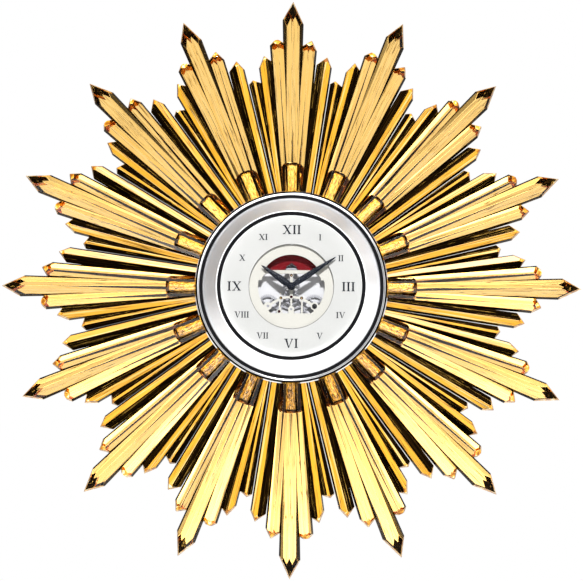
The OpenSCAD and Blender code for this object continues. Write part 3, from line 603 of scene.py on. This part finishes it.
def stud_gold():
    """Rough gilding in bright streaks, with painted light and shade: brighter on the upper studs and darker
    towards the lower ones, as if lit from above.
    """
    m = Nodes("stud_gold")
    m.set(Metallic=0.85)
    streaks = polar_noise(m, 170, 210, 4)
    r, split = m.radius()
    # painted light and shade: the tone rises with height, so the upper studs are painted brighter and the
    # lower ones darker
    height = m.math("MULTIPLY", split.outputs["Z"], 0.35)
    end = m.math("MULTIPLY", m.math("GREATER_THAN", r, STUD_DARK_R), -0.14)
    streaks_and_painted_light = m.math("ADD", m.math("ADD", streaks, height), end)
    shade, brown = (0.012, 0.005, 0.001), (0.30, 0.12, 0.008)
    gold, pale = (0.75, 0.38, 0.025), (0.90, 0.62, 0.18)
    m.colour(m.ramp(streaks_and_painted_light, (0.41, shade), (0.46, brown), (0.53, gold), (0.66, pale)))
    m.rough(m.spread(streaks, 0.5, 0.2))
    m.bump(streaks, 0.9, 0.0014)
    return m.material


def bead_steel_painted_dark_edge():
    """Polished steel whose outer edge is painted black: a painted dark reflection of the dark room beside the
    bead.
    """
    m = Nodes("bead_steel_painted_dark_edge")
    m.set(Metallic=1.0, Roughness=0.06)
    r, split = m.radius()
    wobble = m.math("MULTIPLY", m.noise(m.coords(), 300, 2), 0.0002)
    share = m.spread(m.math("ADD", r, wobble), 0, 1)
    share.node.inputs["From Min"].default_value = BEAD_PAINTED_DARK_R - BEAD_PAINTED_DARK_BLUR
    share.node.inputs["From Max"].default_value = BEAD_PAINTED_DARK_R + BEAD_PAINTED_DARK_BLUR
    # painted dark reflection: the colour turns black beyond this radius, on the bead's outer side
    m.colour(m.ramp(share, (0.4, (0.93, 0.93, 0.94)), (0.7, (0.004, 0.004, 0.005))))
    m.bump(wobble, 0.1, 0.00001)
    return m.material


def glass(name, colour, ior=1.5):
    m = Nodes(name)
    m.set(Roughness=0.0, IOR=ior, Transmission_Weight=1.0)
    slow = m.noise(m.coords(), 12, 2)
    m.colour(m.ramp(slow, (0.4, tuple(c * 0.995 for c in colour)), (0.6, colour)))
    return m.material


def make_materials():
    steel = (0.62, 0.62, 0.64)
    return {
        "case_metal": turned("case_lacquer", (0.045, 0.045, 0.05), 0.0, 0.35,
                             Coat_Weight=0.3, Coat_Roughness=0.1),
        "screw_steel": grained("screw_steel", steel, 1.0, 0.28),
        "gold_stud": stud_gold(),
        "satin_silver": turned("satin_silver", (0.95, 0.95, 0.96), 1.0, 0.30),
        "polished_steel": bead_steel_painted_dark_edge(),
        "black_lacquer": turned("black_lacquer", (0.004, 0.004, 0.005), 0.0, 0.12, depth=0.000004,
                                Specular_IOR_Level=0.1),
        "clear_glass": glass("dial_glass", (0.995, 1.0, 1.0), 1.08),
        "dial_silver": grained("dial_silver", (0.405, 0.405, 0.396), 0.0, 0.42, scale=1500, spread=0.02,
                               Specular_IOR_Level=0.1),
        "ivory_plate": grained("ivory_plate", (0.435, 0.425, 0.39), 0.0, 0.4, scale=1200, spread=0.02,
                               Specular_IOR_Level=0.1),
        "white_plate": grained("white_plate", (0.47, 0.47, 0.485), 0.0, 0.35, scale=1200, spread=0.03,
                               Specular_IOR_Level=0.1),
        "ruby": grained("ruby", (0.022, 0.0006, 0.003), 0.0, 0.15, scale=900, spread=0.3,
                        Specular_IOR_Level=0.15),
        "red_enamel": grained("red_enamel", (0.115, 0.0003, 0.003), 0.0, 0.4, scale=500, spread=0.12,
                              Specular_IOR_Level=0.1),
        "brass_work": grained("brass_work", (0.80, 0.58, 0.26), 1.0, 0.28),
        "winding_steel": turned("winding_steel", (0.24, 0.24, 0.26), 0.2, 0.4, spread=0.15,
                                Specular_IOR_Level=0.2),
        "spring_steel": brushed("spring_steel", (0.12, 0.16, 0.30), 1.0, 0.25),
        "dark_steel": grained("dark_steel", (0.010, 0.010, 0.012), 0.3, 0.3, scale=900, spread=0.2,
                              Specular_IOR_Level=0.3),
        "blued_steel": brushed("blued_steel", (0.0045, 0.006, 0.0105), 0.0, 0.34, (500, 40, 500),
                               Specular_IOR_Level=0.1),
    }


def dress_frame(materials):
    """Gives every CAD node its finish."""
    for row in frame["record"]["subparts"]:
        material = materials.get(row["material_slot"])
        if material:
            mesh = NODES[row["node"]].data
            if mesh.materials:
                for k in range(len(mesh.materials)):
                    mesh.materials[k] = material
            else:
                mesh.materials.append(material)
    # light reaches the dial and the movement through the glass
    NODES["dial_glass"].visible_shadow = False
    NODES["dial_glass"].visible_diffuse = False
    for node in ("bezel", "bezel_bead", "bezel_outer_band", "bezel_inner_band"):
        NODES[node].visible_shadow = False


# ---------------------------------------------------------------- numerals
NUMERALS = ["XII", "I", "II", "III", "IV", "V", "VI", "VII", "VIII", "IX", "X", "XI"]
NUMERAL_R = 60.7
LARGE_CAP, SMALL_CAP = 9.8, 6.5
INK_T = 0.12
LETTER_WIDTH = 1.06
THICK, THIN, SERIF_H = 0.175, 0.085, 0.05


def quad(x0, x1, x2, x3, y0, y1):
    """A stroke with level ends: from x0..x1 at y0 to x3..x2 at y1."""
    return [(x0, y0), (x1, y0), (x2, y1), (x3, y1)]


def serif(x0, x1, stem0, stem1, y, up):
    """A flat serif with bracketed corners, on the foot (up = 1) or the head (up = -1) of a stroke."""
    h, bracket = SERIF_H * up, 0.055 * up
    return [(x0, y), (x1, y), (x1, y + h), (stem1 + 0.02, y + h + bracket * 0.45), (stem1, y + h + bracket),
            (stem0, y + h + bracket), (stem0 - 0.02, y + h + bracket * 0.45), (x0, y + h)]


def glyph(letter):
    """(width, outlines) of a Roman letter with a cap height of 1."""
    if letter == "I":
        w = 0.36
        a, b = (w - THICK) / 2, (w + THICK) / 2
        return w, [quad(a, b, b, a, 0, 1), serif(0, w, a, b, 0, 1), serif(0, w, a, b, 1, -1)]
    if letter == "V":
        w = 0.94
        left, right, foot = 0.10, 0.80, 0.47
        return w, [
            quad(foot - 0.05, foot + 0.06, left + THICK + 0.03, left, 0, 1),
            quad(foot - 0.03, foot + 0.03, right + THIN, right, 0, 1),
            serif(0, 0.38, left + 0.02, left + THICK + 0.02, 1, -1),
            serif(0.66, w, right - 0.01, right + THIN, 1, -1),
        ]
    w = 0.92
    return w, [
        quad(0.66, 0.66 + THICK + 0.03, 0.09 + THICK + 0.03, 0.09, 0, 1),
        quad(0.10, 0.10 + THIN + 0.01, 0.78 + THIN, 0.78, 0, 1),
        serif(0, 0.36, 0.10, 0.27, 1, -1), serif(0.64, w, 0.78, 0.84, 1, -1),
        serif(0, 0.32, 0.10, 0.16, 0, 1), serif(0.56, w, 0.66, 0.84, 0, 1),
    ]


def make_numerals(ink):
    bm = bmesh.new()
    low, high = DIAL_Z, DIAL_Z + INK_T
    for hour, word in enumerate(NUMERALS):
        cap = LARGE_CAP if hour % 3 == 0 else SMALL_CAP
        gap = 0.12 if hour % 3 == 0 else 0.08
        letters = [glyph(c) for c in word]
        width = (sum(w * LETTER_WIDTH for w, _ in letters) + gap * (len(word) - 1)) * cap
        centre = polar(30 * hour, NUMERAL_R)
        x = centre.x - width / 2
        for step, (w, outlines) in enumerate(letters):
            for level, outline in enumerate(outlines):
                lift = 0.01 * level
                ring = [(x + px * cap * LETTER_WIDTH, centre.y + (py - 0.5) * cap) for px, py in outline]
                top = [bm.verts.new(facing(px, py, high + lift)) for px, py in ring]
                base = [bm.verts.new(facing(px, py, low)) for px, py in ring]
                bm.faces.new(top)
                bm.faces.new(base[::-1])
                for k in range(len(ring)):
                    j = (k + 1) % len(ring)
                    bm.faces.new((top[k], base[k], base[j], top[j]))
            x += (w * LETTER_WIDTH + gap) * cap
    bmesh.ops.recalc_face_normals(bm, faces=bm.faces)
    link("dial_numerals", mesh_from(bm, "dial_numerals"), [ink])


# ---------------------------------------------------------------- small trim
def make_hole_painted_shadow(lacquer):
    """A black ring lining the edge of the hole in the dial: painted shadow of the step down to the movement.
    """
    r, line_w, low, high = 45.0, 0.36, DIAL_Z - 0.9, DIAL_Z + 0.08
    ring = lathe([(r, low), (r + line_w, low), (r + line_w, high), (r, high)], 256, "dial_hole_painted_shadow", STAND)
    # painted shadow: the ring is black all round, where the step at the hole's edge lies in shade
    link("dial_hole_painted_shadow", ring, [lacquer])


COCK_Y = 18.7
# Each lobe of the crest: (x and y from the middle of the bar's foot, radius)
COCK_LOBES = [(-4.4, 2.0, 1.25), (-2.5, 3.1, 1.35), (0, 4.0, 1.55), (2.5, 3.1, 1.35), (4.4, 2.0, 1.25)]
LOBE_RISE = 0.45
# The bar's outline at its foot and at its top, and how high it stands
BAR_FOOT = [(-6.2, -1.2), (6.2, -1.2), (4.9, 1.1), (-4.9, 1.1)]
BAR_TOP = [(-5.9, -0.9), (5.9, -0.9), (4.7, 0.8), (-4.7, 0.8)]
BAR_T = 0.35
SUNK = 0.05


def make_cock_ornament(black, silver):
    """The scalloped crest of the balance cock and the bright bar across its foot."""
    front = -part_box("balance_cock")[0].y * 1000
    parts = []
    for x, y, r in COCK_LOBES:
        curve = [
            (r * math.cos(math.radians(a)), front + r * LOBE_RISE * math.sin(math.radians(a)))
            for a in (0, 20, 40, 60, 80)
        ]
        lobe = lathe([(0, front - SUNK), *curve, (0, front + r * LOBE_RISE)], 32, "lobe")
        lobe.transform(Matrix.Translation((x, COCK_Y + y, 0)))
        parts.append(lobe)
    bar = bmesh.new()
    foot = [bar.verts.new((x, COCK_Y + y, front - SUNK)) for x, y in BAR_FOOT]
    top = [bar.verts.new((x, COCK_Y + y, front + BAR_T)) for x, y in BAR_TOP]
    bar.faces.new(foot[::-1])
    bar.faces.new(top)
    for k in range(4):
        bar.faces.new((foot[k], foot[(k + 1) % 4], top[(k + 1) % 4], top[k]))
    bmesh.ops.recalc_face_normals(bar, faces=bar.faces)
    crest = combine(parts[0], parts[1:], "UNION")
    crest.transform(STAND)
    bar_mesh = mesh_from(bar, "cock_bar")
    bar_mesh.transform(STAND)
    link("cock_crest", crest, [black])
    link("cock_bar", bar_mesh, [silver])


RIGHT_ARBOR = (24.8, -21)


def make_arbor_screw(steel):
    """The slotted screw head on the end of the right-hand barrel arbor."""
    front = -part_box("centre_plate")[0].y * 1000
    r, t, half_slot, slot_h, slot_angle = 2.7, 0.7, 0.35, 0.6, 35
    low = front + 0.05
    head = lathe([(0, low), (r, low), (r, low + t - 0.2), (r - 0.2, low + t), (0, low + t)], 64, "screw_head")
    bm = bmesh.new()
    bmesh.ops.create_cube(bm, size=1.0)
    bmesh.ops.transform(bm, verts=bm.verts, matrix=Matrix.Translation((0, 0, low + t)) @ Matrix.Rotation(
        math.radians(slot_angle), 4, "Z") @ Matrix.Diagonal((3 * r, 2 * half_slot, slot_h, 1)))
    head = combine(head, [mesh_from(bm, "slot")], "DIFFERENCE")
    head.transform(STAND @ Matrix.Translation((*RIGHT_ARBOR, 0)))
    link("arbor_screw_head", head, [steel], "winding_right")


# ---------------------------------------------------------------- hands
def hand_mesh(name, length, width, hub_r, z, thick, angle):
    """A leaf hand with a ridge along it and a bevelled hub, at its angle from 12 o'clock."""
    # (share of the length, half width as a share of the width)
    stations = [(0.0, 0.36), (0.06, 0.45), (0.14, 0.54), (0.25, 0.60), (0.38, 0.58), (0.52, 0.50),
                (0.66, 0.40), (0.80, 0.29), (0.90, 0.20), (0.96, 0.12), (0.99, 0.05)]
    bm = bmesh.new()
    rows = []
    for share, half in stations:
        y, h = share * length, half * width
        ridge = z + thick * (1.0 if share < 0.8 else 1.0 - (share - 0.8) * 1.5)
        edge = z + thick * 0.45
        corners = ((-h, y, z), (-h, y, edge), (0, y, ridge), (h, y, edge), (h, y, z))
        rows.append([bm.verts.new(v) for v in corners])
    for a, b in zip(rows, rows[1:]):
        for k in range(5):
            j = (k + 1) % 5
            bm.faces.new((a[k], b[k], b[j], a[j]))
    bm.faces.new(rows[0])
    tip = bm.verts.new((0, length, z + thick * 0.3))
    for k in range(5):
        bm.faces.new((rows[-1][k], tip, rows[-1][(k + 1) % 5]))
    hub = [(0, z), (hub_r, z), (hub_r, z + thick * 0.75), (hub_r - 0.25, z + thick), (0, z + thick)]
    segments = 64
    rings = [[bm.verts.new((r * math.cos(t), r * math.sin(t), h)) for t in
              (2 * math.pi * k / segments for k in range(segments))] if r else [bm.verts.new((0, 0, h))]
             for r, h in hub]
    for a, b in zip(rings, rings[1:]):
        for k in range(segments):
            corners = []
            for v in (a[k % len(a)], a[(k + 1) % len(a)], b[(k + 1) % len(b)], b[k % len(b)]):
                if v not in corners:
                    corners.append(v)
            if len(corners) > 2:
                bm.faces.new(corners)
    bmesh.ops.recalc_face_normals(bm, faces=bm.faces)
    bmesh.ops.transform(bm, matrix=STAND @ Matrix.Rotation(math.radians(-angle), 4, "Z"), verts=bm.verts)
    return mesh_from(bm, name)


# length, greatest width, radius of the hub, angle from 12 o'clock
HOUR_HAND = (39, 6.2, 4.3, 304.7)
MINUTE_HAND = (57, 5.4, 3.7, 56.4)
HAND_T = 1.0


def make_hands(steel):
    leaves = []
    for node, (length, width, hub_r, angle) in (("hour_hand", HOUR_HAND), ("minute_hand", MINUTE_HAND)):
        back = -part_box(node)[1].y * 1000
        leaves.append(hand_mesh(node + "_leaf", length, width, hub_r, back, HAND_T, angle))
    hour, minute = leaves
    link("hour_hand_leaf", hour, [steel], "hour", ["hour_hand"])
    link("minute_hand_leaf", minute, [steel], "minute", ["minute_hand"])


# ---------------------------------------------------------------- world, lights and floor
# Brightness of the studio at angles from straight in front of the clock
ROOM_STOPS = [(0, 1.0), (21, 1.0), (25, 0.03), (50, 0.03), (60, 1.1), (96, 1.1), (104, 0.04), (146, 0.45),
              (180, 0.7)]
# The angle that parts the light in front from the light around
FRONT_ENDS = 32
# How the light in front, and the light around, grow from above left to below right: (from, to, least, most)
FRONT_SLOPE = (-0.05, 0.13, 1.15, 4.6)
FRONT_RIGHT = 0.25
RING_SLOPE = (-0.9, 0.7, 0.42, 1.5)
RING_RIGHT = 0.6
# How much of the studio's light reaches matt surfaces: the key light does the rest
MATT_SHARE = 0.15


def make_world():
    """White where the camera looks past the clock. What the clock reflects is a studio: a bright wall of light
    in front, dark flags round it, a pale floor and some strips."""
    world = bpy.data.worlds.new("studio")
    bpy.context.scene.world = world
    world.use_nodes = True
    tree = world.node_tree
    tree.nodes.clear()

    def new(kind, **settings):
        node = tree.nodes.new(kind)
        for key, value in settings.items():
            setattr(node, key, value)
        return node

    def calc(operation, a, b=0.0, c=0.0):
        node = new("ShaderNodeMath", operation=operation)
        for k, value in enumerate((a, b, c)):
            if isinstance(value, (int, float)):
                node.inputs[k].default_value = value
            else:
                tree.links.new(value, node.inputs[k])
        return node.outputs[0]

    way = new("ShaderNodeTexCoord")
    split = new("ShaderNodeSeparateXYZ")
    tree.links.new(way.outputs["Generated"], split.inputs[0])
    x, y, z = split.outputs
    ramp = new("ShaderNodeValToRGB")
    band = ramp.color_ramp
    while len(band.elements) < len(ROOM_STOPS):
        band.elements.new(0.5)
    for element, (angle, level) in zip(band.elements, reversed(ROOM_STOPS)):
        element.position = (math.cos(math.radians(angle)) + 1) / 2
        element.color = (level, level, level, 1)
    tree.links.new(calc("MULTIPLY_ADD", y, -0.5, 0.5), ramp.inputs["Fac"])

    def slope(values, right):
        node = new("ShaderNodeMapRange", interpolation_type="SMOOTHSTEP")
        for name, value in zip(("From Min", "From Max", "To Min", "To Max"), values):
            node.inputs[name].default_value = value
        tree.links.new(calc("MULTIPLY_ADD", x, right, calc("MULTIPLY", z, -1.0)), node.inputs["Value"])
        return node.outputs["Result"]

    in_front = calc("GREATER_THAN", calc("MULTIPLY", y, -1.0), math.cos(math.radians(FRONT_ENDS)))
    elsewhere = calc("SUBTRACT", 1.0, in_front)
    front_gain = calc("MULTIPLY", slope(FRONT_SLOPE, FRONT_RIGHT), in_front)
    ring_gain = calc("MULTIPLY", slope(RING_SLOPE, RING_RIGHT), elsewhere)
    # soft dark shapes, as of people, stands and flags in the room
    shapes = new("ShaderNodeTexNoise")
    shapes.inputs["Scale"].default_value = 5.5
    shapes.inputs["Detail"].default_value = 1.5
    tree.links.new(way.outputs["Generated"], shapes.inputs["Vector"])
    flags = new("ShaderNodeMapRange", interpolation_type="SMOOTHSTEP")
    flags.inputs["From Min"].default_value = 0.36
    flags.inputs["From Max"].default_value = 0.46
    flags.inputs["To Min"].default_value = 0.35
    tree.links.new(shapes.outputs["Fac"], flags.inputs["Value"])
    path = new("ShaderNodeLightPath")
    matt = calc("MULTIPLY_ADD", path.outputs["Is Diffuse Ray"], MATT_SHARE - 1.0, 1.0)
    gain = calc("ADD", front_gain, calc("MULTIPLY", ring_gain, flags.outputs["Result"]))
    level = calc("MULTIPLY", calc("MULTIPLY", ramp.outputs["Color"], gain), matt)
    room = new("ShaderNodeBackground")
    tree.links.new(level, room.inputs["Strength"])
    room.inputs["Color"].default_value = (1, 1, 1, 1)
    seen = new("ShaderNodeBackground")
    seen.inputs["Strength"].default_value = 1.0
    seen.inputs["Color"].default_value = (1, 1, 1, 1)
    mix = new("ShaderNodeMixShader")
    out = new("ShaderNodeOutputWorld")
    tree.links.new(path.outputs["Is Camera Ray"], mix.inputs["Fac"])
    tree.links.new(room.outputs[0], mix.inputs[1])
    tree.links.new(seen.outputs[0], mix.inputs[2])
    tree.links.new(mix.outputs[0], out.inputs[0])


def sun(name, azimuth, elevation, strength, angle):
    data = bpy.data.lights.new(name, "SUN")
    data.energy = strength
    data.angle = math.radians(angle)
    light = bpy.data.objects.new(name, data)
    bpy.context.scene.collection.objects.link(light)
    a, e = math.radians(azimuth), math.radians(elevation)
    away = Vector((math.sin(a) * math.cos(e), -math.cos(a) * math.cos(e), math.sin(e)))
    light.location = away * 3
    light.rotation_euler = away.to_track_quat("Z", "Y").to_euler()


def make_lights():
    sun("key", 4, 40, 6.6, 6)
    sun("fill", 30, -25, 0.25, 60)


def make_floor():
    bm = bmesh.new()
    bmesh.ops.create_grid(bm, x_segments=1, y_segments=1, size=2.0)
    floor = bpy.data.objects.new("floor", mesh_from(bm, "floor"))
    bpy.context.scene.collection.objects.link(floor)
    floor.location = (0, 0, -0.75)
    m = Nodes("floor_pale").set(Roughness=0.6)
    m.colour(m.ramp(m.noise(m.coords(), 3), (0.3, (0.78, 0.78, 0.77)), (0.7, (0.82, 0.82, 0.81))))
    floor.data.materials.append(m.material)


make_camera()
make_world()
make_lights()
make_floor()
materials = make_materials()
dress_frame(materials)
make_crystals(crystal_clear(), crystal_gilt(), crystal_painted_dark(), crystal_amber(), crystal_tip())
make_numerals(materials["blued_steel"])
make_hole_painted_shadow(materials["black_lacquer"])
make_cock_ornament(materials["dark_steel"], materials["winding_steel"])
make_arbor_screw(materials["dark_steel"])
make_hands(materials["blued_steel"])

bpy.context.scene.view_settings.view_transform = "Standard"
